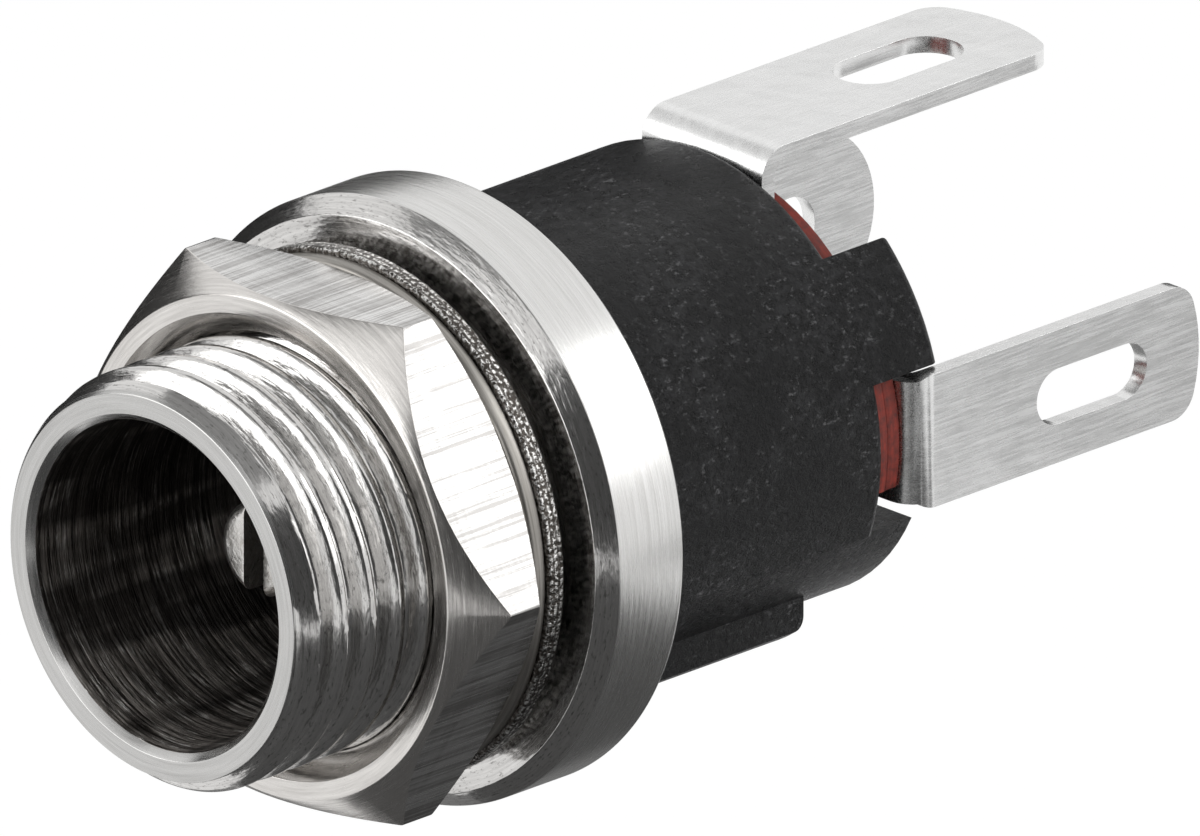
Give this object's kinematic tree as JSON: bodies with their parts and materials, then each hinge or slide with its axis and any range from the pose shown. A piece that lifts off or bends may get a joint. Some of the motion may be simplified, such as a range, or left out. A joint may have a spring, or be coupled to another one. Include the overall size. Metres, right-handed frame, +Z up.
{
  "type": "panel-mount DC barrel jack",
  "caption": "Round panel-mount DC power jack with a threaded bushing, hex nut and washers, a black moulded housing and flat solder lugs at the rear.",
  "frame": {"origin": "on the jack's axis, in the plane of the flange's front face, which seats against the rear of the panel", "axes": "+Y runs rearwards along the jack's axis, away from the plug; +Z is up towards the sleeve contact's lug; +X points to the pin lug"},
  "size_m": [0.016, 0.0317, 0.016],
  "materials": {
    "plated_brass": "turned and nickel plated",
    "nut_metal": "brushed and nickel plated",
    "washer_metal": "smooth and plated",
    "lock_metal": "stamped and plated",
    "black_moulding": "fine grained moulded thermoset",
    "red_fibre": "vulcanised fibre sheet",
    "pin_metal": "turned and nickel plated",
    "tinned_contact": "stamped, silver or tin plated"
  },
  "bodies": {
    "root": {"bushing": "plated_brass", "hex_nut": "nut_metal", "flat_washer": "washer_metal", "lock_washer": "lock_metal", "housing": "black_moulding", "front_insulator": "red_fibre", "rear_insulator": "red_fibre", "centre_pin": "pin_metal", "pin_lug": "tinned_contact", "sleeve_contact": "tinned_contact", "switch_contact": "tinned_contact"}
  },
  "joints": []
}
